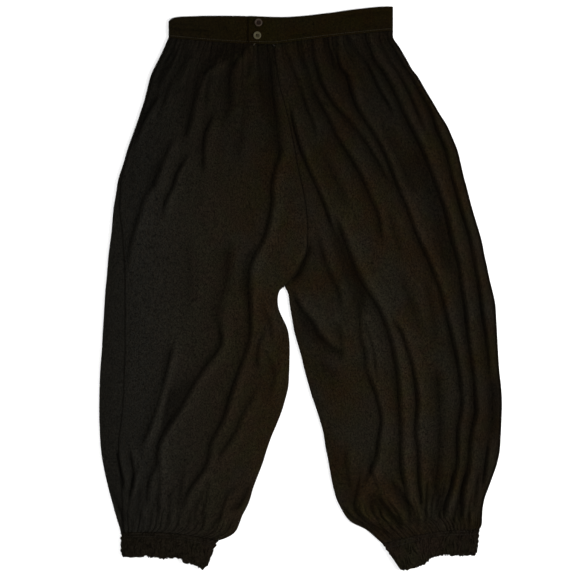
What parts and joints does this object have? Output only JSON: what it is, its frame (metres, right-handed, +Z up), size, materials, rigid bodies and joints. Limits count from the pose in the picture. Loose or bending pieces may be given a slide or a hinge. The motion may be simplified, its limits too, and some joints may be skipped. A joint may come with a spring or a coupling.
{
  "type": "knickerbockers",
  "caption": "Full black gauze knickerbockers laid flat, gathered into a buttoned waistband and into elastic cuffs below the knee.",
  "frame": {"origin": "middle of the garment's bounding box, on the surface it lies on", "axes": "+Z up from the surface, +Y along the legs toward the waistband, +X to the right of someone looking down at the front with the waist at the top"},
  "size_m": [0.6438, 0.8994, 0.0148],
  "materials": {
    "cloth": "matt crinkled cotton gauze, very dark warm black",
    "elastic_casing": "the same gauze gathered over an elastic",
    "button": "dark olive-brown moulded button, lightly glossy"
  },
  "bodies": {
    "root": {"front_left": "cloth", "front_right": "cloth", "back_left": "cloth", "back_right": "cloth", "waistband": "cloth", "cuff_left": "elastic_casing", "cuff_right": "elastic_casing", "button_upper": "button", "button_lower": "button"}
  },
  "joints": []
}
